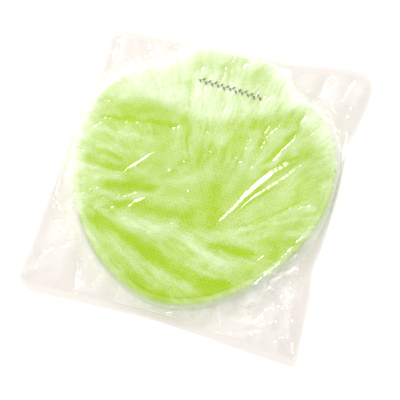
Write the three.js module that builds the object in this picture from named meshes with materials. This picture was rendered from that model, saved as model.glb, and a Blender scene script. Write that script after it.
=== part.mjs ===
// A scented screen mat sealed in a clear flat bag, lying on its back film.
// The mat is one soft moulding: a skirt rim, a perforated top panel and stand-off feet under it.
// The bag is two clear film webs welded along two sides and two ends.
// Millimetres. Origin under the middle of the bag on the surface it lies on, +Z up, +Y to the mat's tab.

import * as THREE from "three";

// Bag, seen from above
const BAG_HALF_WIDTH = 95;
const BAG_HALF_LENGTH = 113.5;
const TAPER = { topLeft: 5, topRight: 0, bottomRight: 3, bottomLeft: 0 };
const SHORTENING = { topLeft: 15, topRight: 0, bottomRight: 0, bottomLeft: 7 };
const CORNER_RADIUS = { topLeft: 4, topRight: 16, bottomRight: 4, bottomLeft: 11 };
const SIDE_WELD = 2;
const END_SEAL = 6;

// Sheets and clearances. The film is drawn at the least thickness that stays a sound solid.
const FILM = 0.5;
const GAP = 0.3;
const WELD = 2 * FILM + GAP;

// Mat
const MAT_X = -1;
const MAT_HALF_WIDTH = 86;
const MAT_HALF_LENGTH = 95;
const MAT_HEIGHT = 9;
const WIDEST_Y = 10;
const NECK = new THREE.Vector2(46, 74);
const TAB_HALF_WIDTH = 19;
const RIM_WIDTH = 4;
const RIM_ROUND = 2.4;
const PANEL = 2.6;
const HOLE_PITCH = 8.25;
const HOLE_RADIUS = 1.1;
const HOLE_SIDES = 6;
const EDGE_MARGIN = 1.6;
const FOOT_EVERY = 4;
const FOOT_TIP_RADIUS = 2.4;
const FOOT_ROOT_RADIUS = 3.6;
const FOOT_SIDES = 12;

// How the film lies
const CORNER_STEPS = 4;
const SIDE_STEPS = 13;
const ACROSS_COVER = [0.2, 0.38, 0.55, 0.7, 0.84, 0.94, 1];
const ACROSS_BACK = [0.45, 0.8, 1];
const STEEPEST_DROP = 12;
const DROP_SHARE = 0.75;
const SIDE_LIFT = 4.5;
const LIFT_MARGIN = 16;
const HUG = 0.6;

const BACK_TOP = FILM;
const MAT_BASE = BACK_TOP + GAP;
const MAT_TOP = MAT_BASE + MAT_HEIGHT;
const COVER_BASE = MAT_TOP + GAP;
const PANEL_BASE = MAT_TOP - PANEL;

const materials = {
  film: new THREE.MeshStandardMaterial({
    color: 0xf4f6f2,
    roughness: 0.12,
    metalness: 0,
    transparent: true,
    opacity: 0.35,
  }),
  weld: new THREE.MeshStandardMaterial({ color: 0xe9ece6, roughness: 0.25, metalness: 0 }),
  mat: new THREE.MeshStandardMaterial({ color: 0xbfe04a, roughness: 0.55, metalness: 0 }),
};

const part = new THREE.Group();

function addMesh(name, geometry, material) {
  const mesh = new THREE.Mesh(geometry, material);
  mesh.name = name;
  part.add(mesh);
}

// ---- Small geometry helpers ----

// A closed body from a vertex list and a triangle list, turned so that its faces point out.
function solidFrom(vertices, triangles) {
  let volume = 0;
  for (const [a, b, c] of triangles) {
    volume += vertices[a].clone().cross(vertices[b]).dot(vertices[c]);
  }
  const index = triangles.flatMap(([a, b, c]) => (volume < 0 ? [a, c, b] : [a, b, c]));
  const geometry = new THREE.BufferGeometry().setFromPoints(vertices);
  geometry.setIndex(index);
  geometry.computeVertexNormals();
  return geometry;
}

// Joins a row of equal cross-sections. A ring closes on itself, and a bar gets two end caps.
function loft(sections, isRing) {
  const size = sections[0].length;
  const triangles = [];
  const spans = isRing ? sections.length : sections.length - 1;
  for (let i = 0; i < spans; i += 1) {
    const here = i * size;
    const next = ((i + 1) % sections.length) * size;
    for (let k = 0; k < size; k += 1) {
      const turn = (k + 1) % size;
      triangles.push([here + k, next + k, next + turn]);
      triangles.push([here + k, next + turn, here + turn]);
    }
  }
  if (!isRing) {
    const last = (sections.length - 1) * size;
    for (let k = 1; k < size - 1; k += 1) {
      triangles.push([0, k, k + 1]);
      triangles.push([last, last + k + 1, last + k]);
    }
  }
  return solidFrom(sections.flat(), triangles);
}

// A sheet of even thickness from a centre point and closed rings around it.
function sheetFrom(centre, rings) {
  const count = rings[0].length;
  const under = [centre, ...rings.flat()];
  const over = under.map((v) => new THREE.Vector3(v.x, v.y, v.z + FILM));
  const top = under.length;
  const at = (ring, k) => 1 + ring * count + (k % count);
  const faces = [];
  for (let k = 0; k < count; k += 1) {
    faces.push([0, at(0, k), at(0, k + 1)]);
    for (let ring = 1; ring < rings.length; ring += 1) {
      faces.push([at(ring - 1, k), at(ring, k), at(ring, k + 1)]);
      faces.push([at(ring - 1, k), at(ring, k + 1), at(ring - 1, k + 1)]);
    }
  }
  const triangles = [];
  for (const [a, b, c] of faces) {
    triangles.push([a + top, b + top, c + top]);
    triangles.push([a, c, b]);
  }
  const edge = rings.length - 1;
  for (let k = 0; k < count; k += 1) {
    triangles.push([at(edge, k), at(edge, k + 1), at(edge, k + 1) + top]);
    triangles.push([at(edge, k), at(edge, k + 1) + top, at(edge, k) + top]);
  }
  return solidFrom([...under, ...over], triangles);
}

// How far a ray from the mat's middle runs before it meets an outline.
function reach(outline, angle) {
  const ray = new THREE.Vector2(Math.cos(angle), Math.sin(angle));
  let best = 0;
  outline.forEach((p, i) => {
    const q = outline[(i + 1) % outline.length];
    const edge = q.clone().sub(p);
    const start = p.clone().sub(new THREE.Vector2(MAT_X, 0));
    const turn = ray.cross(edge);
    if (Math.abs(turn) < 1e-9) return;
    const along = start.cross(ray) / turn;
    const distance = start.cross(edge) / turn;
    if (along >= -1e-6 && along <= 1 + 1e-6 && distance > best) best = distance;
  });
  return best;
}

const polar = (angle, r, z) =>
  new THREE.Vector3(MAT_X + r * Math.cos(angle), r * Math.sin(angle), z);

const ease = (t) => {
  const s = THREE.MathUtils.clamp(t, 0, 1);
  return s * s * (3 - 2 * s);
};

// ---- Outlines ----

// The bag's four-cornered outline with rounded corners, drawn in by a weld width on each side and end.
function bagOutline(sideInset, endInset) {
  const corners = [
    ["bottomLeft", -1, -1, Math.PI],
    ["bottomRight", 1, -1, -Math.PI / 2],
    ["topRight", 1, 1, 0],
    ["topLeft", -1, 1, Math.PI / 2],
  ];
  return corners.flatMap(([name, sideX, sideY, from]) => {
    const r = Math.max(CORNER_RADIUS[name] - sideInset, 1);
    const cx = sideX * (BAG_HALF_WIDTH - TAPER[name] - sideInset - r);
    const cy = sideY * (BAG_HALF_LENGTH - SHORTENING[name] - endInset - r);
    const arc = [];
    for (let i = 0; i <= CORNER_STEPS; i += 1) {
      const a = from + (i / CORNER_STEPS) * (Math.PI / 2);
      arc.push(new THREE.Vector2(cx + r * Math.cos(a), cy + r * Math.sin(a)));
    }
    return arc;
  });
}

// The mat's outline: an egg-shaped disc with a tab between two shallow necks, the same left and right.
function matOutline() {
  const half = new THREE.Path();
  half.moveTo(0, -MAT_HALF_LENGTH);
  half.bezierCurveTo(
    0.49 * MAT_HALF_WIDTH, -MAT_HALF_LENGTH,
    MAT_HALF_WIDTH, WIDEST_Y - 0.52 * MAT_HALF_LENGTH,
    MAT_HALF_WIDTH, WIDEST_Y,
  );
  half.bezierCurveTo(
    MAT_HALF_WIDTH, WIDEST_Y + 0.34 * MAT_HALF_LENGTH,
    0.86 * MAT_HALF_WIDTH, NECK.y - 10,
    NECK.x + 4, NECK.y - 1.5,
  );
  half.quadraticCurveTo(NECK.x, NECK.y, NECK.x - 4, NECK.y + 4);
  half.bezierCurveTo(
    NECK.x - 9, NECK.y + 9,
    TAB_HALF_WIDTH + 12, MAT_HALF_LENGTH,
    TAB_HALF_WIDTH, MAT_HALF_LENGTH,
  );
  half.lineTo(0, MAT_HALF_LENGTH);
  const right = half.getSpacedPoints(48);
  const left = right.slice(1, -1).reverse().map((p) => new THREE.Vector2(-p.x, p.y));
  return [...right, ...left].map((p) => new THREE.Vector2(p.x + MAT_X, p.y));
}

// The same outline moved inwards along its normals.
function drawnIn(outline, distance) {
  return outline.map((p, i) => {
    const before = outline[(i + outline.length - 1) % outline.length];
    const after = outline[(i + 1) % outline.length];
    const along = after.clone().sub(before).normalize();
    return new THREE.Vector2(p.x - distance * along.y, p.y + distance * along.x);
  });
}

function distanceTo(outline, point) {
  return Math.min(...outline.map((p) => p.distanceTo(point)));
}

function isInside(outline, point) {
  let inside = false;
  outline.forEach((p, i) => {
    const q = outline[(i + 1) % outline.length];
    const crosses = p.y > point.y !== q.y > point.y;
    if (crosses && point.x < p.x + ((point.y - p.y) / (q.y - p.y)) * (q.x - p.x)) inside = !inside;
  });
  return inside;
}

const matEdge = matOutline();
const bagEdge = bagOutline(0, 0);
const filmEdge = bagOutline(SIDE_WELD + GAP, END_SEAL + GAP);
const weldInner = bagOutline(SIDE_WELD, END_SEAL);

// Directions from the mat's middle: one through each point of the corner arcs, and even steps between.
function bagDirections() {
  const onArcs = bagEdge.map((p) => Math.atan2(p.y, p.x - MAT_X));
  const directions = [];
  onArcs.forEach((angle, i) => {
    directions.push(angle);
    if (i % (CORNER_STEPS + 1) !== CORNER_STEPS) return;
    const next = onArcs[(i + 1) % onArcs.length];
    const span = (next - angle + 2 * Math.PI) % (2 * Math.PI);
    for (let k = 1; k < SIDE_STEPS; k += 1) directions.push(angle + (k / SIDE_STEPS) * span);
  });
  return directions;
}

const directions = bagDirections();

// ---- The film webs ----

// Where the edge runs close to the mat, the two webs meet beside it, up off the surface.
function edgeLift(angle) {
  const margin = reach(bagEdge, angle) - reach(matEdge, angle);
  return SIDE_LIFT * (1 - ease(margin / LIFT_MARGIN));
}

// Air and slack hold the front web up over the tab and along one long fold to the far side.
function slack(x, y) {
  const overTab = 2.2 * Math.exp(-(((x - MAT_X) / 42) ** 2) - ((y - 68) / 20) ** 2);
  const alongFold = (x + y) / Math.SQRT2;
  const acrossFold = (y - x) / Math.SQRT2;
  const fold = 1.4 * Math.exp(-(((alongFold - 34) / 30) ** 2) - ((acrossFold + 22) / 7) ** 2);
  return overTab + fold;
}

// One web's points along one direction: across the mat, then down or up beside it, then out to the edge.
function webColumn(angle, across, heightOnMat, edgeHeight) {
  const mat = reach(matEdge, angle) + HUG;
  const edge = reach(filmEdge, angle);
  const drop = Math.min(STEEPEST_DROP, DROP_SHARE * (edge - mat));
  const column = across.map((share) => {
    const flat = polar(angle, share * mat, 0);
    return polar(angle, share * mat, heightOnMat(flat.x, flat.y));
  });
  const start = column[column.length - 1].z;
  for (const share of [0.35, 0.7, 1]) {
    column.push(polar(angle, mat + share * drop, start + (edgeHeight - start) * ease(share)));
  }
  for (const share of [0.5, 1]) {
    column.push(polar(angle, mat + drop + share * (edge - mat - drop), edgeHeight));
  }
  return column;
}

function web(across, heightOnMat, heightAtEdge) {
  const columns = directions.map((angle) => webColumn(angle, across, heightOnMat, heightAtEdge(angle)));
  const rings = columns[0].map((_, ring) => columns.map((column) => column[ring]));
  return sheetFrom(polar(0, 0, heightOnMat(MAT_X, 0)), rings);
}

function addFilms() {
  const backOnMat = () => 0;
  const frontOnMat = (x, y) => COVER_BASE + slack(x, y);
  const frontEdge = (angle) => edgeLift(angle) + FILM + GAP;
  addMesh("bag_back_film", web(ACROSS_BACK, backOnMat, edgeLift), materials.film);
  addMesh("bag_front_film", web(ACROSS_COVER, frontOnMat, frontEdge), materials.film);
}

// ---- The welds ----

// One weld runs from the middle of one corner's arc to the middle of the next, with a gap at each end.
function addWeld(name, corner) {
  const perCorner = CORNER_STEPS + SIDE_STEPS;
  const first = corner * perCorner + CORNER_STEPS / 2;
  const angles = [];
  for (let k = 0; k <= perCorner; k += 1) angles.push(directions[(first + k) % directions.length]);
  const gapAngle = GAP / (2 * BAG_HALF_LENGTH);
  angles[0] += gapAngle;
  angles[perCorner] -= gapAngle;
  const sections = angles.map((angle) => {
    const inner = reach(weldInner, angle);
    const outer = reach(bagEdge, angle);
    const low = edgeLift(angle);
    return [
      polar(angle, inner, low),
      polar(angle, outer, low),
      polar(angle, outer, low + WELD),
      polar(angle, inner, low + WELD),
    ];
  });
  addMesh(name, loft(sections, false), materials.weld);
}

function addWelds() {
  const names = ["bottom_end_seal", "right_side_weld", "mouth_seal", "left_side_weld"];
  names.forEach((name, corner) => addWeld(name, corner));
}

// ---- The mat ----

// A skirt all round the mat, with its upper outer edge rounded over.
function addRim() {
  const profile = [[0, 0], [0, MAT_HEIGHT - RIM_ROUND]];
  for (const a of [Math.PI / 6, Math.PI / 3, Math.PI / 2]) {
    profile.push([RIM_ROUND * (1 - Math.cos(a)), MAT_HEIGHT - RIM_ROUND * (1 - Math.sin(a))]);
  }
  profile.push([RIM_WIDTH, MAT_HEIGHT]);
  profile.push([RIM_WIDTH, 0]);
  const rings = profile.map(([inset, z]) =>
    drawnIn(matEdge, inset).map((p) => new THREE.Vector3(p.x, p.y, MAT_BASE + z)),
  );
  const sections = matEdge.map((_, i) => rings.map((ring) => ring[i]));
  addMesh("mat_rim", loft(sections, true), materials.mat);
}

// Lattice places for holes and feet, clear of the rim.
function latticePlaces(edge) {
  const rowPitch = HOLE_PITCH * Math.sin(Math.PI / 3);
  const rows = Math.ceil(MAT_HALF_LENGTH / rowPitch);
  const columns = Math.ceil(MAT_HALF_WIDTH / HOLE_PITCH) + rows;
  const places = [];
  for (let row = -rows; row <= rows; row += 1) {
    for (let column = -columns; column <= columns; column += 1) {
      const x = MAT_X + (column + row / 2) * HOLE_PITCH;
      const point = new THREE.Vector2(x, row * rowPitch);
      const isFoot = row % FOOT_EVERY === 0 && column % FOOT_EVERY === 0;
      const clearance = EDGE_MARGIN + (isFoot ? FOOT_ROOT_RADIUS : HOLE_RADIUS);
      const isClear = isInside(edge, point) && distanceTo(edge, point) > clearance;
      if (isClear) places.push({ point, isFoot });
    }
  }
  return places;
}

function addPanelAndFeet() {
  const edge = drawnIn(matEdge, RIM_WIDTH + GAP);
  const places = latticePlaces(edge);
  const shape = new THREE.Shape(edge);
  for (const { point } of places.filter((place) => !place.isFoot)) {
    const corners = [];
    for (let i = 0; i < HOLE_SIDES; i += 1) {
      const a = (i / HOLE_SIDES) * 2 * Math.PI;
      const arm = new THREE.Vector2(Math.cos(a), Math.sin(a)).multiplyScalar(HOLE_RADIUS);
      corners.push(arm.add(point));
    }
    shape.holes.push(new THREE.Path(corners));
  }
  const panel = new THREE.ExtrudeGeometry(shape, { depth: PANEL, bevelEnabled: false });
  panel.translate(0, 0, PANEL_BASE);
  addMesh("mat_mesh_panel", panel, materials.mat);

  const height = PANEL_BASE - GAP - MAT_BASE;
  places.filter((place) => place.isFoot).forEach(({ point }, i) => {
    const foot = new THREE.CylinderGeometry(FOOT_ROOT_RADIUS, FOOT_TIP_RADIUS, height, FOOT_SIDES);
    foot.rotateX(Math.PI / 2);
    foot.translate(point.x, point.y, MAT_BASE + height / 2);
    addMesh(`mat_foot_${String(i + 1).padStart(2, "0")}`, foot, materials.mat);
  });
}

addFilms();
addWelds();
addRim();
addPanelAndFeet();

export default part;
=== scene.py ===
"""Looks for a scented screen mat sealed in a clear, crumpled flat bag.
"""

import math

import bpy
import numpy as np
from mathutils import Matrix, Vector, geometry, kdtree


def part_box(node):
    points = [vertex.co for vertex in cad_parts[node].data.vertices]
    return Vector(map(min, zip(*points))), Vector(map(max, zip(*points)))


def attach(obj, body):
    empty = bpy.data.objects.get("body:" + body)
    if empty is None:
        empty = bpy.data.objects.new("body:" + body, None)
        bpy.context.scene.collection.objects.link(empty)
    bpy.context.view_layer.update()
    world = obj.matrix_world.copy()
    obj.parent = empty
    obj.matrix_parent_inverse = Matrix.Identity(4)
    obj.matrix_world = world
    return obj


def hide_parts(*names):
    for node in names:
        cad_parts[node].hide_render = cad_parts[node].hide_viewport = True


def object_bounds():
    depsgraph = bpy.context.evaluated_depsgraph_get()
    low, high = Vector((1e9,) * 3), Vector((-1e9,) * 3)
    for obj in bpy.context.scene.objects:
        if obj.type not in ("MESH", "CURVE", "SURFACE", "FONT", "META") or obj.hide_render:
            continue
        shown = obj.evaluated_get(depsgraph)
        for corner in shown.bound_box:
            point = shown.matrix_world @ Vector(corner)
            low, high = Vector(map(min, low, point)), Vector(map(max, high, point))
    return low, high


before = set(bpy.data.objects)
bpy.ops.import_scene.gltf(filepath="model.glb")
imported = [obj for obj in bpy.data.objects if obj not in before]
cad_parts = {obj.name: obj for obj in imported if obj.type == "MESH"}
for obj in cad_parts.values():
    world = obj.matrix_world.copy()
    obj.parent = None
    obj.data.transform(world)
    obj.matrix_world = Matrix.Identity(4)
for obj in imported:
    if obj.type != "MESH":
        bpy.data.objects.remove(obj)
cad_low, cad_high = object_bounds()

MM = 0.001

# ---- Sizes read from the frame ----

rim_low, rim_high = (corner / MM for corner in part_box("mat_rim"))
panel_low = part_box("mat_mesh_panel")[0] / MM
mouth_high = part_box("mouth_seal")[1] / MM
bottom_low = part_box("bottom_end_seal")[0] / MM

MAT_X = (rim_low.x + rim_high.x) / 2
HALF_WIDTH = (rim_high.x - rim_low.x) / 2
HALF_LENGTH = (rim_high.y - rim_low.y) / 2
MAT_BASE = rim_low.z
MAT_TOP = rim_high.z
PANEL_BASE = panel_low.z
RIM_WIDTH = panel_low.x - rim_low.x
BAG_LEFT, BAG_RIGHT = cad_low[0] / MM, cad_high[0] / MM
BAG_FRONT, BAG_BACK = bottom_low.y, mouth_high.y

# ---- Camera ----

CAMERA_AZIMUTH, CAMERA_ELEVATION = math.radians(15.6), math.radians(62)
CAMERA_DISTANCE = 1.24
CAMERA_TARGET = Vector((0.0026, -0.0135, 0))
CAMERA_LENS = 170.6


def add_camera():
    flat = math.cos(CAMERA_ELEVATION)
    back = Vector((
        math.sin(CAMERA_AZIMUTH) * flat,
        -math.cos(CAMERA_AZIMUTH) * flat,
        math.sin(CAMERA_ELEVATION),
    ))
    data = bpy.data.cameras.new("camera")
    data.lens = CAMERA_LENS
    data.sensor_width = 36
    data.clip_start, data.clip_end = 0.05, 50
    camera = bpy.data.objects.new("camera", data)
    camera.location = CAMERA_TARGET + back * CAMERA_DISTANCE
    camera.rotation_euler = (-back).to_track_quat("-Z", "Y").to_euler()
    bpy.context.scene.collection.objects.link(camera)
    bpy.context.scene.camera = camera


# ---- Small helpers ----

def ease(t):
    t = np.clip(t, 0, 1)
    return t * t * (3 - 2 * t)


def put(name, points, faces, material, smooth=True):
    """A mesh object from points in millimetres."""
    mesh = bpy.data.meshes.new(name)
    mesh.from_pydata((np.asarray(points) * MM).tolist(), [], [list(map(int, f)) for f in faces])
    mesh.materials.append(material)
    mesh.polygons.foreach_set("use_smooth", [smooth] * len(mesh.polygons))
    mesh.update()
    piece = bpy.data.objects.new(name, mesh)
    bpy.context.scene.collection.objects.link(piece)
    return piece


def store(piece, name, values):
    """Keeps one number per vertex for the materials to read."""
    layer = piece.data.attributes.new(name, "FLOAT", "POINT")
    layer.data.foreach_set("value", np.asarray(values, dtype=np.float32).ravel())


def grid_faces(rows, columns):
    at = np.arange(rows * columns).reshape(rows, columns)
    corners = [at[:-1, :-1], at[:-1, 1:], at[1:, 1:], at[1:, :-1]]
    return np.stack([c.ravel() for c in corners], axis=1)


# ---- Outlines ----

def bezier(start, first, second, end, steps):
    t = np.linspace(0, 1, steps, endpoint=False)[:, None]
    a, b, c, d = (np.array(p, dtype=float) for p in (start, first, second, end))
    return a * (1 - t) ** 3 + 3 * b * t * (1 - t) ** 2 + 3 * c * t * t * (1 - t) + d * t ** 3


def mat_outline():
    """The mat's outline, anticlockwise from its near end: an egg with a tab between two shallow necks."""
    w, l, widest, neck_x, neck_y, tab = HALF_WIDTH, HALF_LENGTH, 10, 46, 74, 19
    half = np.concatenate([
        bezier((0, -l), (0.49 * w, -l), (w, widest - 0.52 * l), (w, widest), 60),
        bezier((w, widest), (w, widest + 0.34 * l), (0.86 * w, neck_y - 10), (neck_x + 4, neck_y - 1.5), 40),
        bezier((neck_x + 4, neck_y - 1.5), (neck_x + 1.3, neck_y - 0.5),
               (neck_x - 1.3, neck_y + 1.3), (neck_x - 4, neck_y + 4), 6),
        bezier((neck_x - 4, neck_y + 4), (neck_x - 9, neck_y + 9), (tab + 12, l), (tab, l), 24),
        bezier((tab, l), (tab * 0.7, l), (tab * 0.3, l), (0, l), 10),
        [[0, l]],
    ])
    other = half[1:-1][::-1] * (-1, 1)
    return np.concatenate([half, other]) + (MAT_X, 0)


MAT_EDGE = mat_outline()


def outline_distance(outline, points):
    """Signed distance to an outline: negative inside."""
    best = np.full(len(points), np.inf)
    inside = np.zeros(len(points), dtype=bool)
    x, y = points[:, 0], points[:, 1]
    for (ax, ay), (bx, by) in zip(outline, np.roll(outline, -1, axis=0)):
        ex, ey = bx - ax, by - ay
        t = np.clip(((x - ax) * ex + (y - ay) * ey) / (ex * ex + ey * ey + 1e-12), 0, 1)
        best = np.minimum(best, (x - ax - t * ex) ** 2 + (y - ay - t * ey) ** 2)
        crosses = (ay > y) != (by > y)
        inside ^= crosses & (x < ax + (y - ay) / (ey if ey else 1) * ex)
    return np.sqrt(best) * np.where(inside, -1, 1)


def drawn_in(outline, distance):
    along = np.roll(outline, -1, axis=0) - np.roll(outline, 1, axis=0)
    along /= np.linalg.norm(along, axis=1)[:, None]
    return outline + distance * np.stack([-along[:, 1], along[:, 0]], axis=1)


# ---- Random fields ----

LATTICE = 96


def smooth_noise(x, y, cell, seed):
    """Soft random hills about one cell apart, from -1 to 1."""
    rng = np.random.default_rng(seed)
    lattice = rng.uniform(-1, 1, (LATTICE, LATTICE))
    u, v = x / cell + LATTICE / 2, y / cell + LATTICE / 2
    i, j = np.floor(u).astype(int), np.floor(v).astype(int)
    fu, fv = ease(u - i), ease(v - j)
    i, j = i % LATTICE, j % LATTICE
    k, m = (i + 1) % LATTICE, (j + 1) % LATTICE
    low = lattice[i, j] * (1 - fu) + lattice[k, j] * fu
    high = lattice[i, m] * (1 - fu) + lattice[k, m] * fu
    return low * (1 - fv) + high * fv


def facets(x, y, cell, stretch, direction, seed):
    """Flat random facets with sharp ridges between, as in crumpled film. They are longer along direction."""
    rng = np.random.default_rng(seed)
    lattice = rng.uniform(-1, 1, (LATTICE, LATTICE))
    c, s = math.cos(math.radians(direction)), math.sin(math.radians(direction))
    bend_u, bend_v = (0.4 * smooth_noise(x, y, cell * 1.7, seed + more) for more in (500, 600))
    u = (x * c + y * s) / (cell * stretch) + LATTICE / 2 + bend_u
    v = (y * c - x * s) / cell + LATTICE / 2 + bend_v
    i, j = np.floor(u).astype(int), np.floor(v).astype(int)
    fu, fv = u - i, v - j
    i, j = i % LATTICE, j % LATTICE
    k, m = (i + 1) % LATTICE, (j + 1) % LATTICE
    low, high = lattice[i, j], lattice[k, m]
    right = low + fu * (lattice[k, j] - low) + fv * (high - lattice[k, j])
    left = low + fv * (lattice[i, m] - low) + fu * (high - lattice[i, m])
    return np.where(fu > fv, right, left)


def spine(x, y, points):
    """Distance to a line of points, the side a place is on (left is positive) and how far along it is."""
    points = np.array(points, dtype=float)
    steps = np.diff(points, axis=0)
    lengths = np.hypot(steps[:, 0], steps[:, 1])
    before = np.concatenate([[0], np.cumsum(lengths)])
    best = np.full(x.shape, np.inf)
    side, along = np.zeros(x.shape), np.zeros(x.shape)
    for (ax, ay), (ex, ey), length, start in zip(points, steps, lengths, before):
        t = np.clip(((x - ax) * ex + (y - ay) * ey) / length ** 2, 0, 1)
        dx, dy = x - ax - t * ex, y - ay - t * ey
        near = np.hypot(dx, dy)
        closer = near < best
        best = np.where(closer, near, best)
        side = np.where(closer, ex * dy - ey * dx, side)
        along = np.where(closer, start + t * length, along)
    return best, np.where(side >= 0, 1, -1), along / before[-1]


def swell(x, y, points, width, height):
    """A long low rise round a line of points, without any edge."""
    away, _, _ = spine(x, y, points)
    return height * np.exp(-(away / width) ** 2)


def sharp_folds(x, y, folds):
    """Height of sharp folds, and a share that falls close to them, where the film is pulled even.

    A fold has an even slope on its left, a steeper one on its right, and both ends run out to nothing.
    """
    height, uneven = np.zeros(x.shape), np.ones(x.shape)
    for points, lit_width, far_width, top in folds:
        away, side, along = spine(x, y, points)
        taper = np.maximum(np.sin(math.pi * np.clip(along, 0.002, 0.998)) ** 0.7, 0.02)
        width = np.where(side > 0, lit_width, far_width) * taper
        height += top * taper * np.maximum(0, 1 - away / width)
        uneven *= 1 - 0.85 * np.exp(-(away / (1.4 * lit_width)) ** 2)
    return height, uneven


def turned_facets(front, x, y, chains):
    """Breaks the film along lines into small flat facets that nearly all face the same way."""
    rng = np.random.default_rng(71)
    for points, width in chains:
        line = np.array(points, dtype=float)
        marks = np.concatenate([[0], np.cumsum(np.hypot(*np.diff(line, axis=0).T))])
        count = max(1, round(marks[-1] / FACET))
        middles = (np.arange(count) + 0.5) / count * marks[-1]
        cx, cy = np.interp(middles, marks, line[:, 0]), np.interp(middles, marks, line[:, 1])
        level = np.array([front[np.argmin((x - u) ** 2 + (y - v) ** 2)] for u, v in zip(cx, cy)])
        facing = np.radians(FACET_AZIMUTH + rng.normal(0, 5, count))
        slope = np.tan(np.radians(FACET_TILT + rng.normal(0, 1.2, count)))
        away, _, along = spine(x, y, points)
        k = np.minimum((along * count).astype(int), count - 1)
        towards = (x - cx[k]) * np.cos(facing[k]) + (y - cy[k]) * np.sin(facing[k])
        ragged = width * (1 + 0.7 * smooth_noise(x, y, 1.6, 72))
        front = front + (level[k] - slope[k] * towards - front) * ease(2.5 * (1 - away / ragged))
    return front


def streaks(x, y, pole, spacing, seed):
    """Fine pleats that run towards a pole, about so many degrees apart, from -1 to 1."""
    dx, dy = x - pole[0], y - pole[1]
    angle, away = np.degrees(np.arctan2(dy, dx)), np.hypot(dx, dy)
    coarse = smooth_noise(angle, away * spacing / 26, spacing, seed)
    fine = 1 - 3.2 * np.abs(smooth_noise(angle, away * spacing / 30, spacing * 0.5, seed + 1))
    return 0.6 * coarse + 0.4 * fine


# ---- Materials ----

FILM_TINT = (0.932, 0.918, 0.901)
WELD_TINT = tuple(0.95 * share * share for share in FILM_TINT)
MOST_VEIL = 0.6
VEIL_SHADOW = 0.25
MIRROR_FACE_ON, MIRROR_GRAZING = 0.085, 0.85


def new_material(name):
    material = bpy.data.materials.new(name)
    material.use_nodes = True
    nodes = material.node_tree.nodes
    nodes.clear()
    output = nodes.new("ShaderNodeOutputMaterial")
    return material, nodes, material.node_tree.links, output


def math_node(nodes, links, operation, first, second=None, third=None):
    node = nodes.new("ShaderNodeMath")
    node.operation = operation
    for socket, value in zip(node.inputs, (first, second, third)):
        if value is None:
            continue
        if isinstance(value, (int, float)):
            socket.default_value = value
        else:
            links.new(value, socket)
    return node.outputs[0]


def noise_node(nodes, links, scale, detail=3, roughness=0.5, vector=None):
    node = nodes.new("ShaderNodeTexNoise")
    node.inputs["Scale"].default_value = scale
    node.inputs["Detail"].default_value = detail
    node.inputs["Roughness"].default_value = roughness
    if vector is None:
        vector = nodes.new("ShaderNodeTexCoord").outputs["Object"]
    links.new(vector, node.inputs["Vector"])
    return node.outputs["Fac"]


def haze_and_sheen_shader(nodes, links):
    """The white that the film's veil mixes in, for its own haze and for painted sheen alike, a little of it
    lit from behind.
    """
    white = nodes.new("ShaderNodeBsdfDiffuse")
    white.inputs["Color"].default_value = (0.96, 0.95, 0.925, 1)
    through = nodes.new("ShaderNodeBsdfTranslucent")
    through.inputs["Color"].default_value = (0.92, 0.915, 0.88, 1)
    milk = nodes.new("ShaderNodeMixShader")
    milk.inputs["Fac"].default_value = 0.15
    links.new(white.outputs[0], milk.inputs[1])
    links.new(through.outputs[0], milk.inputs[2])
    return milk


def veil_share(nodes, links, haze):
    """How white the film looks: its stored veil, which is partly the film's haze and partly painted sheen,
    and some haze, clouded, and thinner to shadow rays.
    """
    stored = nodes.new("ShaderNodeAttribute")
    stored.attribute_name = "veil"
    cloud = noise_node(nodes, links, 45, 4, 0.6)
    uneven = math_node(nodes, links, "MULTIPLY_ADD", cloud, 0.3, 0.85)
    veil = math_node(nodes, links, "MULTIPLY_ADD", stored.outputs["Fac"], MOST_VEIL, haze)
    veil = math_node(nodes, links, "MULTIPLY", veil, uneven)
    shadow = nodes.new("ShaderNodeLightPath").outputs["Is Shadow Ray"]
    passing = math_node(nodes, links, "MULTIPLY_ADD", shadow, VEIL_SHADOW - 1, 1)
    return math_node(nodes, links, "MULTIPLY", veil, passing)


def crinkled_gloss(nodes, links, roughness):
    """A glossy coat over fine crinkles."""
    fine = noise_node(nodes, links, 420, 2, 0.5)
    crinkle = noise_node(nodes, links, 150, 3, 0.6)
    relief = math_node(nodes, links, "MULTIPLY_ADD", crinkle, 2.2, fine)
    bump = nodes.new("ShaderNodeBump")
    bump.inputs["Strength"].default_value = 0.45
    bump.inputs["Distance"].default_value = 0.0003
    links.new(relief, bump.inputs["Height"])

    shine = nodes.new("ShaderNodeBsdfAnisotropic")
    shine.inputs["Roughness"].default_value = roughness
    shine.inputs["Color"].default_value = (1, 1, 1, 1)
    links.new(bump.outputs[0], shine.inputs["Normal"])
    return shine


def film_material(name, tint, haze, roughness):
    """Clear film: it passes light, mirrors more at grazing angles, and turns white where its veil says,
    partly as the film's haze where it stands off and partly as painted sheen for the soft lights' reflection.
    """
    material, nodes, links, output = new_material(name)
    clear = nodes.new("ShaderNodeBsdfTransparent")
    clear.inputs["Color"].default_value = (*tint, 1)
    body = nodes.new("ShaderNodeMixShader")
    links.new(veil_share(nodes, links, haze), body.inputs["Fac"])
    links.new(clear.outputs[0], body.inputs[1])
    links.new(haze_and_sheen_shader(nodes, links).outputs[0], body.inputs[2])
    facing = nodes.new("ShaderNodeLayerWeight")
    facing.inputs["Blend"].default_value = 0.5
    grazing = math_node(nodes, links, "POWER", facing.outputs["Facing"], 5)
    mirror = math_node(nodes, links, "MULTIPLY_ADD", grazing, MIRROR_GRAZING, MIRROR_FACE_ON)
    surface = nodes.new("ShaderNodeMixShader")
    links.new(mirror, surface.inputs["Fac"])
    links.new(body.outputs[0], surface.inputs[1])
    links.new(crinkled_gloss(nodes, links, roughness).outputs[0], surface.inputs[2])
    links.new(surface.outputs[0], output.inputs["Surface"])
    return material


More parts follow.
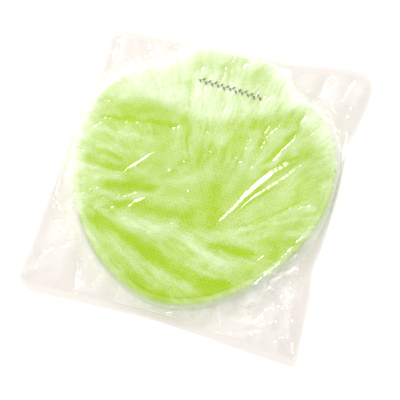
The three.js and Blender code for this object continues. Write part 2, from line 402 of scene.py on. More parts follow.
def mat_material(name):
    """Soft moulded lime-green plastic with a fine grain and slightly uneven colour."""
    material, nodes, links, output = new_material(name)
    shader = nodes.new("ShaderNodeBsdfPrincipled")
    patches = noise_node(nodes, links, 28, 4, 0.55)
    speckle = noise_node(nodes, links, 900, 2, 0.5)
    blend = math_node(nodes, links, "MULTIPLY_ADD", speckle, 0.35, patches)
    ramp = nodes.new("ShaderNodeValToRGB")
    ramp.color_ramp.elements[0].position = 0.35
    ramp.color_ramp.elements[0].color = (0.375, 0.592, 0.005, 1)
    ramp.color_ramp.elements[1].position = 0.95
    ramp.color_ramp.elements[1].color = (0.438, 0.65, 0.012, 1)
    links.new(blend, ramp.inputs["Fac"])
    links.new(ramp.outputs["Color"], shader.inputs["Base Color"])
    shader.inputs["Roughness"].default_value = 0.5
    shader.inputs["Subsurface Weight"].default_value = 0.5
    shader.inputs["Subsurface Radius"].default_value = (1.0, 1.0, 0.35)
    shader.inputs["Subsurface Scale"].default_value = 0.004
    bump = nodes.new("ShaderNodeBump")
    bump.inputs["Strength"].default_value = 0.25
    bump.inputs["Distance"].default_value = 0.0003
    links.new(speckle, bump.inputs["Height"])
    links.new(bump.outputs[0], shader.inputs["Normal"])
    links.new(shader.outputs[0], output.inputs["Surface"])
    return material


def ink_material(name):
    material, nodes, links, output = new_material(name)
    shader = nodes.new("ShaderNodeBsdfPrincipled")
    wear = noise_node(nodes, links, 700, 3, 0.6)
    ramp = nodes.new("ShaderNodeValToRGB")
    ramp.color_ramp.elements[0].color = (0.09, 0.11, 0.05, 1)
    ramp.color_ramp.elements[1].color = (0.19, 0.22, 0.11, 1)
    links.new(wear, ramp.inputs["Fac"])
    links.new(ramp.outputs["Color"], shader.inputs["Base Color"])
    shader.inputs["Roughness"].default_value = 0.45
    links.new(shader.outputs[0], output.inputs["Surface"])
    return material


def floor_material():
    material, nodes, links, output = new_material("floor")
    shader = nodes.new("ShaderNodeBsdfDiffuse")
    shader.inputs["Color"].default_value = (0.9, 0.9, 0.9, 1)
    links.new(shader.outputs[0], output.inputs["Surface"])
    return material


# ---- The mat ----

MESH_PITCH = 2.75
HOLE_RADIUS = 0.22
NUB = 0.04
EDGE_ROUND, FOOT_ROUND = 2.4, 0.8
SAME_CORNER = 0.05
ROW = MESH_PITCH * math.sin(math.pi / 3)
SIXTHS = np.radians(30 + 60 * np.arange(6))
SIX = np.stack([np.cos(SIXTHS), np.sin(SIXTHS)], axis=1)


def mesh_cells(edge):
    """Middles of the six-sided cells, one round each hole: those wholly inside an outline, and the rest."""
    columns = int(HALF_WIDTH / MESH_PITCH) + 2
    rows = int(HALF_LENGTH / ROW) + 2
    j, i = np.meshgrid(np.arange(-rows, rows + 1), np.arange(-columns, columns + 1), indexing="ij")
    places = np.stack([MAT_X + (i + 0.5 * (j % 2)) * MESH_PITCH, j * ROW], axis=-1).reshape(-1, 2)
    inside = outline_distance(edge, places) < -MESH_PITCH * 0.75
    return places[inside], places[~inside]


def number_corners(cells):
    """Numbers the cells' corners so that neighbours share theirs."""
    spots = (cells[:, None, :] + SIX[None] * MESH_PITCH / math.sqrt(3)).reshape(-1, 2)
    off_boundary = 0.237
    _, first, number = np.unique(np.floor(spots / SAME_CORNER + off_boundary).astype(int), axis=0,
                                 return_index=True, return_inverse=True)
    return spots[first], number.reshape(-1, 6)


def nearest(points, places):
    tree = kdtree.KDTree(len(places))
    for n, place in enumerate(places):
        tree.insert((place[0], place[1], 0), n)
    tree.balance()
    return np.array([tree.find((p[0], p[1], 0))[2] for p in points])


def border_strip(edge, corners, at, cells, others):
    """Triangles between the outermost cells and the panel's own edge, numbered with the corners first."""
    sides = np.stack([at, np.roll(at, -1, axis=1)], axis=-1).reshape(-1, 2)
    known = {tuple(side) for side in sides.tolist()}
    border = [side for side in known if side[::-1] not in known]
    used = sorted({k for side in border for k in side})
    local = {k: n for n, k in enumerate(used)}
    flat = np.concatenate([corners[used], edge])
    lines = [(local[a], local[b]) for a, b in border]
    lines += [(len(used) + k, len(used) + (k + 1) % len(edge)) for k in range(len(edge))]
    points, _, triangles, *_ = geometry.delaunay_2d_cdt([Vector(p) for p in flat], lines, [], 0, 1e-6)
    assert len(points) == len(flat)
    triangles = np.array(triangles)
    middles = flat[triangles].mean(axis=1)
    off_cells = nearest(middles, others) < nearest(middles, cells)
    kept = triangles[(outline_distance(edge, middles) < 0) & off_cells]
    renumber = np.array(used + list(range(len(corners), len(corners) + len(edge))))
    return renumber[kept]


def add_panel(material):
    """The perforated top: six-sided cells with a small hole in each, and a low nub where three cells meet."""
    edge = drawn_in(MAT_EDGE, RIM_WIDTH)[::2]
    cells, others = mesh_cells(edge)
    corners, at = number_corners(cells)
    strip = border_strip(edge, corners, at, cells, others)
    rims = (cells[:, None, :] + SIX[None] * HOLE_RADIUS).reshape(-1, 2)
    flat = np.concatenate([corners, edge, rims])
    rim_at = len(corners) + len(edge) + np.arange(len(rims)).reshape(-1, 6)
    after, rim_after = np.roll(at, -1, axis=1), np.roll(rim_at, -1, axis=1)
    rings = np.concatenate([
        np.stack([rim_at, at, after], axis=-1).reshape(-1, 3),
        np.stack([rim_at, after, rim_after], axis=-1).reshape(-1, 3),
    ])
    top_faces = np.concatenate([rings, strip])
    top = np.full(len(flat), MAT_TOP - NUB)
    top[:len(corners)] = MAT_TOP
    n = len(flat)
    points = np.concatenate([np.column_stack([flat, top]), np.column_stack([flat, np.full(n, PANEL_BASE)])])
    walls = [np.stack([rim_at, rim_after, rim_after + n, rim_at + n], axis=-1).reshape(-1, 4)]
    around = len(corners) + np.arange(len(edge))
    beyond = np.roll(around, -1)
    walls.append(np.stack([around + n, beyond + n, beyond, around], axis=-1))
    faces = top_faces.tolist() + (top_faces[:, ::-1] + n).tolist() + np.concatenate(walls).tolist()
    return put("mat_fine_mesh", points, faces, material, smooth=False)


def add_rim(material):
    """The skirt round the mat, with rounded upper and lower edges and a shallow groove down its side."""
    height, groove = MAT_TOP - MAT_BASE, 0.3
    profile = []
    for a in np.linspace(0, math.pi / 2, 5):
        profile.append((FOOT_ROUND * (1 - math.sin(a)), FOOT_ROUND * (1 - math.cos(a))))
    profile += [(0, height * 0.42), (groove, height * 0.46), (groove, height * 0.52), (0, height * 0.56)]
    for a in np.linspace(0, math.pi / 2, 9):
        profile.append((EDGE_ROUND * (1 - math.cos(a)), height - EDGE_ROUND * (1 - math.sin(a))))
    profile += [(RIM_WIDTH * 0.8, height), (RIM_WIDTH, height - NUB), (RIM_WIDTH, 0)]
    rings = [np.column_stack([drawn_in(MAT_EDGE, inset), np.full(len(MAT_EDGE), MAT_BASE + z)])
             for inset, z in profile]
    n, m = len(MAT_EDGE), len(profile)
    points = np.concatenate(rings)
    faces = []
    for r in range(m):
        for k in range(n):
            nxt, up = (k + 1) % n, (r + 1) % m
            faces.append((r * n + k, r * n + nxt, up * n + nxt, up * n + k))
    skirt = put("mat_rim_skirt", points, faces, material)
    skirt.data.set_sharp_from_angle(angle=math.radians(35))
    return skirt


def add_mat():
    green = mat_material("mat_green")
    panel = add_panel(green)
    rim = add_rim(green)
    for piece, node in ((panel, "mat_mesh_panel"), (rim, "mat_rim")):
        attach(piece, "root")
        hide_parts(node)
    for name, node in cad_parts.items():
        if name.startswith("mat_foot_"):
            node.data.materials.clear()
            node.data.materials.append(green)


# ---- The bag ----

SIDE_BAND, END_BAND = 2.0, 6.0
FLAT_WIDTH, FLAT_LENGTH = 195.0, 230.0
TOP_LEFT, TOP_RIGHT = (BAG_LEFT + 4.5, 99.5), (BAG_RIGHT, BAG_BACK)
BOTTOM_LEFT, BOTTOM_RIGHT = (BAG_LEFT, -106.5), (92.5, BAG_FRONT)
CORNER_ROUND = {"top_left": 5, "top_right": 22, "bottom_right": 5, "bottom_left": 15}


def bump_at(t, centre, width):
    return np.exp(-((t - centre) / width) ** 2)


def edge_points(p, q):
    """The bag's four edges as they lie, drawn in where the film is pulled or gathered."""
    def line(a, b, t):
        return np.stack([a[0] + (b[0] - a[0]) * t, a[1] + (b[1] - a[1]) * t], axis=-1)
    left, right = line(BOTTOM_LEFT, TOP_LEFT, q), line(BOTTOM_RIGHT, TOP_RIGHT, q)
    bottom, top = line(BOTTOM_LEFT, BOTTOM_RIGHT, p), line(TOP_LEFT, TOP_RIGHT, p)
    left[..., 0] += 3.2 * bump_at(q, 0.8, 0.14) + 1.0 * bump_at(q, 0.16, 0.07)
    right[..., 0] -= 5.4 * np.sin(math.pi * q) ** 0.8 + 2.6 * bump_at(q, 0.72, 0.1)
    right[..., 0] -= 2.4 * bump_at(q, 0.31, 0.06)
    bottom[..., 1] += 4.6 * np.sin(math.pi * p) ** 1.2
    top[..., 1] -= 3.0 * np.sin(math.pi * p) + 2.4 * bump_at(p, 0.66, 0.12)
    return left, right, bottom, top


def rounded(p, q):
    """Pulls the square corners of the cut sheet in to rounded ones."""
    a, b = p * FLAT_WIDTH, q * FLAT_LENGTH
    for name, r in CORNER_ROUND.items():
        from_a = a if "left" in name else FLAT_WIDTH - a
        from_b = b if "bottom" in name else FLAT_LENGTH - b
        near = (from_a < r) & (from_b < r)
        u, v = np.where(near, 1 - from_a / r, 0), np.where(near, 1 - from_b / r, 0)
        new_a = r * (1 - u * np.sqrt(1 - v * v / 2))
        new_b = r * (1 - v * np.sqrt(1 - u * u / 2))
        a = np.where(near, new_a if "left" in name else FLAT_WIDTH - new_a, a)
        b = np.where(near, new_b if "bottom" in name else FLAT_LENGTH - new_b, b)
    return a / FLAT_WIDTH, b / FLAT_LENGTH


def bag_plan(p, q):
    """Where a point of the cut sheet lies, seen from above."""
    p, q = rounded(p, q)
    left, right, bottom, top = edge_points(p, q)
    corners = [np.array(c, dtype=float) for c in (BOTTOM_LEFT, BOTTOM_RIGHT, TOP_LEFT, TOP_RIGHT)]
    p, q = p[..., None], q[..., None]
    flat = ((1 - p) * (1 - q) * corners[0] + p * (1 - q) * corners[1]
            + (1 - p) * q * corners[2] + p * q * corners[3])
    return (1 - p) * left + p * right + (1 - q) * bottom + q * top - flat


def bag_border(steps=60):
    t = np.linspace(0, 1, steps, endpoint=False)
    zero, one = np.zeros(steps), np.ones(steps)
    sides = [bag_plan(t, zero), bag_plan(one, t), bag_plan(1 - t, one), bag_plan(zero, 1 - t)]
    return np.concatenate(sides)


BAG_EDGE = bag_border()

USUAL_LOOSENESS = 0.245
RISE_IF_LOOSE = 1.15
# The film's least height over the mat, the back web's over the surface, and the webs' gap in the margin.
CLING, BACK_BASE, WEBS_APART = 0.2, 0.25, 0.3
# The middles of the crumpled near right corner and of a painted sheen beside it: extra white where the steep
# film lies in shade.
CRUMPLED, SHEEN_PATCH = (68, -74), (60, -60)

# How much more loosely than usual the film lies on the mat: line, half width and amount. Looser film stands
# higher and is drawn whiter, partly painted sheen; where it clings the green shows clear.
LOOSE_FOLDS = [
    ([(-38, -46), (-6, -46), (12, -53), (36, -60)], 6.2, 0.29),
    ([(12, -41), (30, -40), (46, -40)], 3.4, 0.20),
    ([(-12, -57), (4, -66), (20, -69.5), (42, -70)], 2.0, 0.16),
    ([(-66, -58), (-42, -65), (-20, -73), (2, -78), (14, -80)], 5.0, 0.22),
    ([(-70, -42), (-68, -22)], 9.3, 0.22),
    ([(-86, 30), (-88, 0), (-82, -30), (-72, -50)], 5.6, 0.32),
    ([(-62, -29), (-45, -31), (-28, -23), (-22, -18)], 2.1, 0.22),
    ([(-80, -15), (-66, -14), (-52, -15)], 1.9, 0.20),
    ([(-78, 1), (-60, 2), (-42, 4)], 2.8, 0.16),
    ([(-78, 14), (-60, 14), (-40, 17)], 2.5, 0.18),
    ([(-42, -7), (-30, -9)], 5.0, 0.18),
    ([(-27, -14), (-16, -11), (-4, -6)], 3.1, 0.18),
    ([(-24, -25), (-10, -22), (-1, -22)], 3.1, 0.14),
    ([(-76, 18), (-70, 40), (-60, 52)], 5.0, 0.18),
    ([(33, 6), (35, 26), (40, 46)], 3.4, 0.24),
    ([(42, 20), (56, 37), (70, 52)], 4.3, 0.28),
    ([(38, -18), (48, -8), (60, 10)], 4.3, 0.16),
    ([(60, -14), (66, -8), (76, -5)], 1.9, 0.18),
    ([(74, 14), (72, 34)], 5.6, 0.14),
    ([(28, -36), (44, -30), (56, -20)], 2.2, 0.14),
    ([(24, 40), (24, 12), (20, -6)], 2.5, 0.10),
    ([(-13, 32), (-11, 14)], 2.2, 0.12),
    ([(-23, 30), (-22, 16)], 1.9, 0.12),
    ([(8, 34), (6, 12)], 2.2, 0.10),
    ([(-75, 24.5), (-50, 28), (-26, 31)], 1.9, -0.30),
    ([(-74, 36), (-50, 38)], 5.0, -0.12),
    ([(-78, -9), (-62, -9.5), (-48, -9)], 2.8, -0.24),
    ([(-56, -24), (-42, -21), (-28, -19)], 3.4, -0.26),
    ([(-46, -36), (-30, -30)], 1.9, -0.20),
    ([(-66, -52), (-42, -53), (-25, -60), (-8, -68), (8, -75), (36, -76)], 5.2, -0.36),
    ([(20, -49), (34, -48), (46, -49)], 3.4, -0.3),
    ([(-28, -34), (0, -32)], 3.8, -0.26),
    ([(16, -33), (12, -8)], 6.0, -0.2),
    ([(-24, -88), (8, -90), (38, -76)], 7.0, -0.2),
    ([(39, 20), (45, 32), (50, 46), (54, 60)], 2.0, -0.32),
    ([(31, 46), (31, 32)], 1.6, -0.24),
    ([(34, 4), (44, 18), (58, 30)], 1.9, -0.26),
    ([(70, -10), (70, -22)], 3.1, -0.12),
    ([(64, 8), (64, -4)], 2.5, -0.12),
    ([(62, -30), (60, -44)], 3.1, -0.14),
    ([(-44, 54), (-26, 66), (-6, 84)], 2.5, -0.12),
    ([(8, 74), (16, 86)], 2.5, -0.10),
    ([(60, 56), (72, 46)], 7.0, 0.35),
    ([(-62, 48), (-40, 54)], 9.0, 0.27),
    ([(46, 38), (56, 52)], 7.0, 0.2),
    ([(58, -28), (66, -6), (66, 14)], 9.0, 0.07),
]

# Sharp folds that catch the light: line, lit width, far width and height.
CREASES = [
    ([(17, -38), (29, -17), (37, -2), (45, 11), (53, 21), (60, 28), (72, 43)], 4.4, 1.0, 1.12),
    ([(24, -30), (38, -8), (44, -1), (52, 9), (58, 18), (70, 35)], 2.6, 0.9, 0.66),
    ([(66, 30), (74, 35), (82, 42)], 2.6, 1.2, 0.66),
    ([(-50, -14), (-41, -3), (-33, 9)], 2.6, 1.0, 0.66),
    ([(-40, -41), (-35, -32), (-26, -24)], 2.8, 1.0, 0.72),
    ([(-22, -7), (-19, -1)], 2.0, 1.0, 0.5),
    ([(-6, -17), (-2, -13)], 2.0, 1.0, 0.5),
    ([(51, -53), (55, -48), (60, -45)], 2.6, 1.2, 0.66),
    ([(-14, 4), (-12, 7)], 1.6, 1.0, 0.4),
    ([(28, -89), (36, -82)], 2.0, 1.0, 0.5),
]


def pocket_line(x):
    """The front edge of the loose pocket over the tab."""
    return 35 + 0.006 * (x + 15) ** 2


def wavered(x, y):
    """Shifts places a little at random, so that no fold is ruler-straight."""
    dx = 0.9 * smooth_noise(x, y, 7, 51) + 0.35 * smooth_noise(x, y, 2.4, 52)
    dy = 0.9 * smooth_noise(x, y, 7, 53) + 0.35 * smooth_noise(x, y, 2.4, 54)
    return x + dx, y + dy


def settled(rise, soft):
    """The rise where the film is free, easing to nothing where it lies on what is below."""
    return soft * np.logaddexp(0, rise / soft)


def looseness(x, y):
    """How loosely the film lies on the mat, from 0 where it clings to 1 where it hangs clear."""
    pocket = ease((y - pocket_line(x)) / 12)
    folds = sum(swell(x, y, *one) for one in LOOSE_FOLDS)
    tab = streaks(x, y, (-4, -40), 2.2, 43) * pocket
    left = streaks(x, y, (-14, -12), 4.0, 11) * ease((-28 - x) / 20)
    left = left * ease((40 - y) / 16) * ease((y + 52) / 10)
    upper = streaks(x, y, (6, -70), 2.2, 13) * ease((y - 2) / 14) * ease((x + 34) / 16)
    right = streaks(x, y, (2, -64), 3.2, 15) * ease((x - 22) / 16)
    right = right * ease((y + 44) / 12) * ease((16 - y) / 20)
    lower = streaks(x, y - 0.004 * np.maximum(x, 0) ** 2, (-170, 20), 1.0, 17) * ease((-30 - y) / 12)
    pleats = 0.17 * (left + lower) + 0.22 * (upper + right) + 0.14 * tab
    broad = 0.09 * smooth_noise(x, y, 17, 19) + 0.11 * facets(x, y, 6, 1.6, 30, 20)
    fine = 0.07 * smooth_noise(x, y, 1.8, 44)
    return settled(USUAL_LOOSENESS + 0.51 * pocket + folds + pleats + broad + fine, 0.07)


def film_over_mat(x, y):
    """How far the film stands off the mat, and how loose it is."""
    u, v = wavered(x, y)
    loose = looseness(u, v)
    fold, uneven = sharp_folds(x + (u - x) / 4, y + (v - y) / 4, CREASES)
    return RISE_IF_LOOSE * (USUAL_LOOSENESS + (loose - USUAL_LOOSENESS) * uneven) + fold, loose


# The film's white where it turns down over the rim, by direction from the mat's middle: partly haze where it
# stands off the rounded rim, partly a painted glow whose strength is set direction by direction.
EDGE_DIRECTIONS = [-180, -135, -90, -45, 0, 45, 90, 135, 180]
EDGE_REACH = [13, 8, 4, 8, 8, 16, 8, 14, 13]
RIM_HAZE_AND_SHEEN = [0.5, 0.3, 0.08, 0.3, 0.2, 0.55, 0.3, 0.4, 0.5]


def rim_haze_and_sheen(x, y, out):
    direction = np.degrees(np.arctan2(y, x - MAT_X))
    reach = np.interp(direction, EDGE_DIRECTIONS, EDGE_REACH)
    return np.interp(direction, EDGE_DIRECTIONS, RIM_HAZE_AND_SHEEN) * ease(1 + out / reach)


# Rises and sharp folds of the loose margin round the mat, in the same terms.
MARGIN_SWELLS = [
    ([(58, 104), (57, 88), (54, 74)], 3.7, -1.0),
    ([(66, 104), (67, 88), (68, 72)], 3.7, 0.9),
    ([(77, 106), (76, 92), (78, 66)], 3.4, -1.0),
    ([(86, 100), (84, 80), (85, 56)], 3.1, 0.8),
    ([(40, 98), (48, 86)], 3.7, 0.7),
    ([(-80, 96), (-80, 70), (-84, 48)], 3.7, 0.7),
    ([(-68, 96), (-64, 80)], 3.1, -0.5),
    ([(-56, 96), (-48, 88)], 3.7, 0.5),
    ([(-86, -34), (-86, -60), (-84, -92)], 3.1, 0.5),
    ([(-76, -44), (-75, -64), (-70, -92)], 2.5, 0.7),
    ([(-68, -58), (-62, -78), (-58, -96)], 2.4, -0.9),
    ([(-60, -72), (-52, -96)], 2.5, 0.6),
    ([(-46, -86), (-40, -96)], 2.5, 0.6),
    ([(-60, -97), (-20, -99), (20, -98)], 2.0, 0.7),
    ([(28, -95), (50, -92), (66, -90)], 2.5, 1.0),
    ([(62, -66), (65, -56), (74, -48)], 3.1, 1.3),
    ([(70, -70), (70, -84)], 3.7, 0.6),
    ([(84, -64), (86, -84), (87, -104)], 2.5, 1.0),
]
MARGIN_CREASES = [
    ([(71, -54), (77, -72), (82, -92), (86, -107)], 1.7, 1.4, 0.8),
    ([(66, -80), (78, -75), (84, -70)], 1.6, 1.2, 0.5),
    ([(42, -103), (60, -98), (74, -93), (82, -94)], 1.8, 1.2, 0.5),
    ([(-77, -82), (-74, -70)], 1.6, 1.4, 0.5),
    ([(-24, -95), (0, -97), (8, -92)], 1.4, 1.4, 0.4),
    ([(70, 44), (82, 46), (84, 38)], 2.0, 1.4, 0.5),
    ([(74, 78), (80, 96), (84, 106)], 2.2, 1.6, 0.5),
]
# Thin round ridges that stand up from the crumpled corner, in the same terms as swells.
CORNER_RIDGES = [
    ([(74, -58), (77, -70), (76, -74.5), (79, -78), (81, -86), (83, -95), (86, -103)], 1.25, 0.8),
    ([(70, -76.5), (76, -74.5)], 1.2, 0.7),
    ([(40, -103), (53, -101), (63, -96.5), (70, -94), (75, -95), (83, -95)], 1.25, 0.7),
    ([(60, -62), (63, -52), (70, -46)], 1.3, 0.8),
    ([(46, -90), (52, -80), (60, -76)], 1.3, 0.7),
]
# Lines of small facets in and near the crumpled corner: line and half width. All are turned the same way.
FACET = 4.0
FACET_AZIMUTH, FACET_TILT = 146, 14
TURNED_FACETS = [
    ([(62, -66), (64, -58), (69, -53), (75, -48)], 2.8),
    ([(76, -60), (78, -68)], 1.8),
    ([(71, -31), (74, -27)], 2.6),
    ([(72, -44), (74, -40)], 2.0),
    ([(54, -67), (57, -60), (61, -54)], 2.2),
    ([(66, -44), (70, -36)], 1.8),
    ([(50, -85), (57, -81)], 2.6),
    ([(55, -92), (61, -90)], 2.8),
    ([(65, -90), (70, -87)], 2.4),
    ([(76, -98), (81, -94)], 2.6),
    ([(46, -101), (58, -98), (66, -95)], 1.3),
    ([(68, -78), (76, -75)], 1.3),
    ([(86, -108), (88, -106)], 1.6),
    ([(6, -99), (9, -96)], 1.8),
    ([(62, -76), (65, -72)], 1.4),
    ([(66, -8), (74, -4)], 1.5),
]


def back_height(x, y, out, span):
    """The back web: flat under the mat, lifted in the margin and curled up at three corners."""
    lift = 4.6 * (1 - ease(span / 17))
    share = np.clip(out / np.maximum(span, 0.1), 0, 1)
    flutter = 0.8 * smooth_noise(x, y, 15, 21) + 0.5 * facets(x, y, 11, 1.8, 35, 22)
    free = ease(out / 10)
    back = BACK_BASE + lift * share ** 1.5 + free * np.maximum(0, flutter * 0.7 + 0.1)
    curl = 2.0 * bump_at(np.hypot(x - TOP_RIGHT[0], y - TOP_RIGHT[1]), 0, 22)
    curl += 2.0 * bump_at(np.hypot(x - BOTTOM_RIGHT[0], y - BOTTOM_RIGHT[1]), 0, 16)
    curl += 1.0 * bump_at(np.hypot(x - BOTTOM_LEFT[0], y - BOTTOM_LEFT[1]), 0, 14)
    return back + curl * free


def margin_pleats(x, y, out):
    """Small pleats that run outwards from the mat, all round it."""
    direction = np.degrees(np.arctan2(y, x - MAT_X))
    coarse = smooth_noise(direction, out * 0.12, 3.2, 31)
    return coarse + 0.6 * smooth_noise(direction, out * 0.1, 1.4, 32)


def margin_puff(x, y, u, v, pleats):
    """How far the front web stands off the back web in the loose margin, at x, y or wavered to u, v."""
    corner = 1.1 * bump_at(np.hypot(x - CRUMPLED[0], y - CRUMPLED[1]), 0, 30)
    crumple = 1.2 * facets(x, y, 8, 1.5, 60, 33) + 0.55 * facets(x, y, 3.6, 1.4, 20, 34)
    puff = 1.0 + (0.15 + corner) * crumple
    puff = puff + sum(swell(u, v, *one) for one in MARGIN_SWELLS) + 0.4 * pleats
    fold, uneven = sharp_folds(x + (u - x) / 4, y + (v - y) / 4, MARGIN_CREASES)
    return 1 + (settled(puff, 0.22) - 1) * uneven + fold


def front_veil(x, y, out, gap, loose, pleats):
    """How white the front web looks: by its looseness over the mat, and by its gap to the back web beyond;
    partly the film's haze where it stands off, partly painted sheen.
    """
    past_edge = ease((out + 1) / 3)
    clear_of_back = 1 - np.exp(-gap / (0.55 + 4 * ease(out / 6)))
    # Streaks of more and less white along the margin's pleats and facets: painted light and shade of the
    # folds.
    bands = 0.1 * pleats + 0.14 * facets(x, y, 6, 3.5, 78, 35) + 0.08 * smooth_noise(x, y, 2.2, 36)
    # Painted sheen beside the crumpled corner, brightening film that faces away from the lamps.
    painted_sheen = 0.2 * bump_at(np.hypot(x - SHEEN_PATCH[0], y - SHEEN_PATCH[1]), 0, 18)
    rim_haze_and_glow = rim_haze_and_sheen(x, y, out)
    # Painted glow just outside the rim, on the far half of the mat only.
    painted_sheen += 0.35 * rim_haze_and_glow * np.exp(-(np.maximum(out, 0) / 4.5) ** 2) * ease((y - 10) / 50)
    margin_veil = np.maximum(0.02, 0.05 + painted_sheen + 0.7 * clear_of_back + bands * ease(out / 5))
    # Less white just outside the rim on the left.
    margin_veil *= 1 - 0.45 * np.exp(-(np.maximum(out, 0) / 4) ** 2) * ease((-20 - x) / 40)
    return (loose + rim_haze_and_glow) * (1 - past_edge) + margin_veil * past_edge


def web_heights(points):
    """Heights of the front and back webs over the surface, and how white the front looks, partly haze and
    partly painted sheen.
    """
    x, y = points[:, 0], points[:, 1]
    out = outline_distance(MAT_EDGE, points)
    edge = np.maximum(-outline_distance(BAG_EDGE, points), 0)
    span = np.maximum(out, 0) + edge
    back = back_height(x, y, out, span)
    pleats = margin_pleats(x, y, out)
    u, v = wavered(x, y)

    drop = np.minimum(13, 0.85 * span)
    fall = np.clip(1 - out / np.maximum(drop, 0.1), 0, 1) ** 1.6
    taper = ease((edge - SIDE_BAND) / 11) * ease((out + 1) / 8)
    beyond = back + WEBS_APART + (MAT_TOP - back) * fall + taper * margin_puff(x, y, u, v, pleats)
    rise, loose = film_over_mat(x, y)
    blend = ease((out + 3) / 5)
    front = (MAT_TOP + CLING + rise) * (1 - blend) + np.maximum(beyond, back + WEBS_APART) * blend
    front = turned_facets(front, u, v, TURNED_FACETS)
    front = front + sum(swell(u, v, *one) for one in CORNER_RIDGES)
    rounding = MAT_TOP + CLING - 0.5 * np.clip(out + EDGE_ROUND, 0, None) ** 2 / EDGE_ROUND
    front = np.where(out < 0.3, np.maximum(front, rounding), front)
    front = np.maximum(front, back + 0.08)
    return front, back, front_veil(x, y, out, front - back, loose, pleats)


def bag_sheet(columns, rows):
    inner_p, inner_q = SIDE_BAND / FLAT_WIDTH, END_BAND / FLAT_LENGTH
    q, p = np.meshgrid(np.linspace(inner_q, 1 - inner_q, rows),
                       np.linspace(inner_p, 1 - inner_p, columns), indexing="ij")
    return bag_plan(p, q).reshape(-1, 2), grid_faces(rows, columns)


def add_front_film(material):
    points, faces = bag_sheet(284, 333)
    front, _, veil = web_heights(points)
    film = put("clear_front_film", np.column_stack([points, front]), faces, material)
    store(film, "veil", veil)
    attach(film, "root")
    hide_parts("bag_front_film")
    return film


def add_back_film(material):
    points, faces = bag_sheet(160, 190)
    _, back, _ = web_heights(points)
    film = put("clear_back_film", np.column_stack([points, back]), faces[:, ::-1], material)
    out = outline_distance(MAT_EDGE, points)
    # A little white on the back web everywhere and more just beside the mat: partly haze, partly painted
    # sheen.
    store(film, "veil", 0.05 + 0.4 * ease(out / 3) * np.exp(-np.maximum(out, 0) / 10))
    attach(film, "root")
    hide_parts("bag_back_film")
    return film


def add_weld(name, node, band, material, along_p, at_low):
    """One fused edge: a narrow ribbed strip between the films' edge and the bag's own edge."""
    length = FLAT_WIDTH if along_p else FLAT_LENGTH
    columns, rows = 8, int(length)
    reach = band / (FLAT_LENGTH if along_p else FLAT_WIDTH)
    across = np.linspace(0, reach, columns)
    across = across if at_low else 1 - across
    ends = 0 if along_p else END_BAND / FLAT_LENGTH
    along = np.linspace(ends, 1 - ends, rows)
    w, t = np.meshgrid(across, along, indexing="ij")
    p, q = (t, w) if along_p else (w, t)
    points = bag_plan(p, q).reshape(-1, 2)
    front, back, _ = web_heights(points)
    ribs = 0.03 * np.sin(np.linspace(0, 6 * math.pi, columns))[:, None] * np.ones(rows)
    height = (front + back) / 2 + ribs.ravel()
    strip = put(name, np.column_stack([points, height]), grid_faces(columns, rows), material)
    store(strip, "veil", np.zeros(len(points)))
    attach(strip, "root")
    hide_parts(node)
    return strip


SPRIG_START, SPRIG_END = (-22, 69), (23, 66)
STEM_POINTS, STEM_HALF_WIDTH, STEM_WAVE = 50, 0.16, 0.3
LEAVES, LEAF_LENGTH, LEAF_WIDTH, LEAF_TILT = 21, 2.9, 1.25, 52
INK_GAP = 0.08


def add_sprig(material):
    """A printed sprig over the tab: a thin stem with small leaves on either side, just above the film."""
    steps = np.linspace(0, 1, STEM_POINTS)
    wave = STEM_WAVE * np.sin(steps * 9 * math.pi)
    stem_x = SPRIG_START[0] + (SPRIG_END[0] - SPRIG_START[0]) * steps
    stem_y = SPRIG_START[1] + (SPRIG_END[1] - SPRIG_START[1]) * steps + wave
    flat = [np.column_stack([stem_x, stem_y + side]) for side in (-STEM_HALF_WIDTH, STEM_HALF_WIDTH)]
    faces = [(k, k + 1, STEM_POINTS + k + 1, STEM_POINTS + k) for k in range(STEM_POINTS - 1)]
    along = np.linspace(0, 1, 7)
    half = 0.5 * LEAF_WIDTH * np.sin(math.pi * along) ** 0.8
    outline = np.concatenate([
        np.column_stack([LEAF_LENGTH * along, half]),
        np.column_stack([LEAF_LENGTH * along, -half])[-2:0:-1],
    ])
    used = 2 * STEM_POINTS
    for k in range(LEAVES):
        at = (k + 0.6) / (LEAVES + 0.4)
        tilt = math.radians(LEAF_TILT if k % 2 else -LEAF_TILT)
        turn = np.array([(math.cos(tilt), math.sin(tilt)), (-math.sin(tilt), math.cos(tilt))])
        root = (np.interp(at, steps, stem_x), np.interp(at, steps, stem_y))
        flat.append(outline @ turn + root)
        faces.append(tuple(range(used, used + len(outline))))
        used += len(outline)
    flat = np.concatenate(flat)
    front, _, _ = web_heights(flat)
    sprig = put("printed_sprig", np.column_stack([flat, front + INK_GAP]), faces, material)
    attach(sprig, "root")
    return sprig


def add_bag():
    film = film_material("film_clear", FILM_TINT, haze=0.0, roughness=0.08)
    weld = film_material("film_weld", WELD_TINT, haze=0.1, roughness=0.2)
    front = add_front_film(film)
    back = add_back_film(film)
    welds = [
        add_weld("weld_left", "left_side_weld", SIDE_BAND, weld, along_p=False, at_low=True),
        add_weld("weld_right", "right_side_weld", SIDE_BAND, weld, along_p=False, at_low=False),
        add_weld("seal_bottom", "bottom_end_seal", END_BAND, weld, along_p=True, at_low=True),
        add_weld("seal_mouth", "mouth_seal", END_BAND, weld, along_p=True, at_low=False),
    ]
    sprig = add_sprig(ink_material("ink"))


# ---- Setting ----

FLOOR_HALF = 6.0
BACKDROP = 1.05
FILL, FILL_IN_GLOSS = 0.98, 0.1


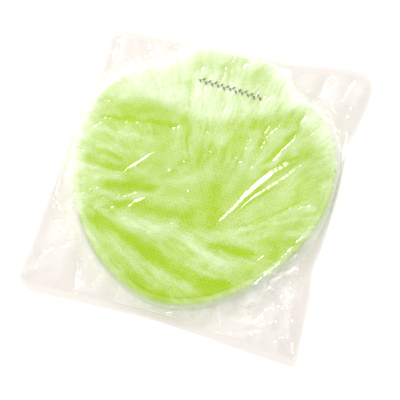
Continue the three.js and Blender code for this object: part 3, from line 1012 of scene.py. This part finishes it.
def add_floor():
    corners = [(-FLOOR_HALF, -FLOOR_HALF, 0), (FLOOR_HALF, -FLOOR_HALF, 0),
               (FLOOR_HALF, FLOOR_HALF, 0), (-FLOOR_HALF, FLOOR_HALF, 0)]
    floor = put("floor", np.array(corners) / MM, [(0, 1, 2, 3)], floor_material(), smooth=False)


def add_world():
    """White all round: bright behind the bag, a soft fill on it, and dim in the film's gloss."""
    world = bpy.data.worlds.new("studio")
    bpy.context.scene.world = world
    world.use_nodes = True
    nodes, links = world.node_tree.nodes, world.node_tree.links
    nodes.clear()
    output = nodes.new("ShaderNodeOutputWorld")
    seen = nodes.new("ShaderNodeBackground")
    seen.inputs["Strength"].default_value = BACKDROP
    path = nodes.new("ShaderNodeLightPath")
    fill = nodes.new("ShaderNodeBackground")
    glossy = path.outputs["Is Glossy Ray"]
    strength = math_node(nodes, links, "MULTIPLY_ADD", glossy, FILL_IN_GLOSS - FILL, FILL)
    links.new(strength, fill.inputs["Strength"])
    mix = nodes.new("ShaderNodeMixShader")
    links.new(path.outputs["Is Camera Ray"], mix.inputs["Fac"])
    links.new(fill.outputs[0], mix.inputs[1])
    links.new(seen.outputs[0], mix.inputs[2])
    links.new(mix.outputs[0], output.inputs["Surface"])


def add_area_light(name, place, side, power, shows_in_gloss=True):
    """A square light that is aimed at the middle of the bag."""
    data = bpy.data.lights.new(name, "AREA")
    data.size = side
    data.energy = power
    light = bpy.data.objects.new(name, data)
    light.location = place
    light.rotation_euler = (-Vector(place)).to_track_quat("-Z", "Y").to_euler()
    light.visible_glossy = shows_in_gloss
    bpy.context.scene.collection.objects.link(light)


def add_lights():
    add_area_light("overhead", (-0.3, -0.15, 1.3), 1.4, 15, shows_in_gloss=False)
    add_area_light("window", (-0.65, 0.99, 0.93), 0.3, 5)
    add_area_light("kicker", (0.78, 0.96, 0.84), 0.2, 2.5)
    add_area_light("side", (-1.07, 0.36, 0.99), 0.2, 2)
    bpy.context.scene.view_settings.view_transform = "Standard"


add_camera()
add_floor()
add_world()
add_lights()
add_mat()
add_bag()
